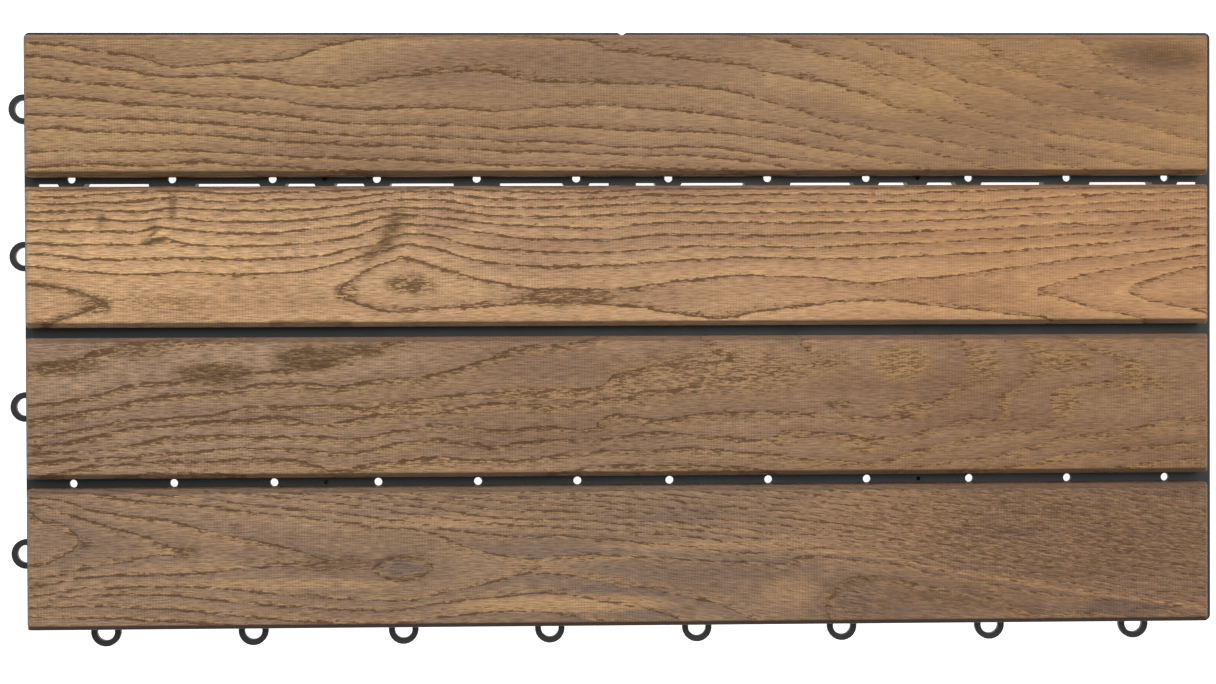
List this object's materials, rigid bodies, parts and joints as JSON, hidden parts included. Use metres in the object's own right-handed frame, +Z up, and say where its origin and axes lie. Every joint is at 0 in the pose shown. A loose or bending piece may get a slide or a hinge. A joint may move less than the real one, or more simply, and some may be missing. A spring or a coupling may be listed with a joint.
{
  "type": "interlocking deck tile",
  "caption": "Outdoor deck tile of chamfered wooden slats screwed to two square plastic grid bases, with clip loops on two sides and pegs on the other two.",
  "frame": {"origin": "middle of the tile's plan on the ground, where the two bases meet, at the underside of the feet", "axes": "+X along the slats, +Y across them away from the side with the row of loops, +Z up out of the walking face"},
  "size_m": [0.6188, 0.3143, 0.026],
  "materials": {
    "slat_wood": "planed, lightly oiled hardwood",
    "base_plastic": "fine matt moulding",
    "screw_steel": "bright zinc"
  },
  "bodies": {
    "root": {"slat_back": "slat_wood", "slat_mid_back": "slat_wood", "slat_mid_front": "slat_wood", "slat_front": "slat_wood", "base_left": "base_plastic", "base_right": "base_plastic", "screws_back": "screw_steel", "screws_mid_back": "screw_steel", "screws_mid_front": "screw_steel", "screws_front": "screw_steel"}
  },
  "joints": []
}
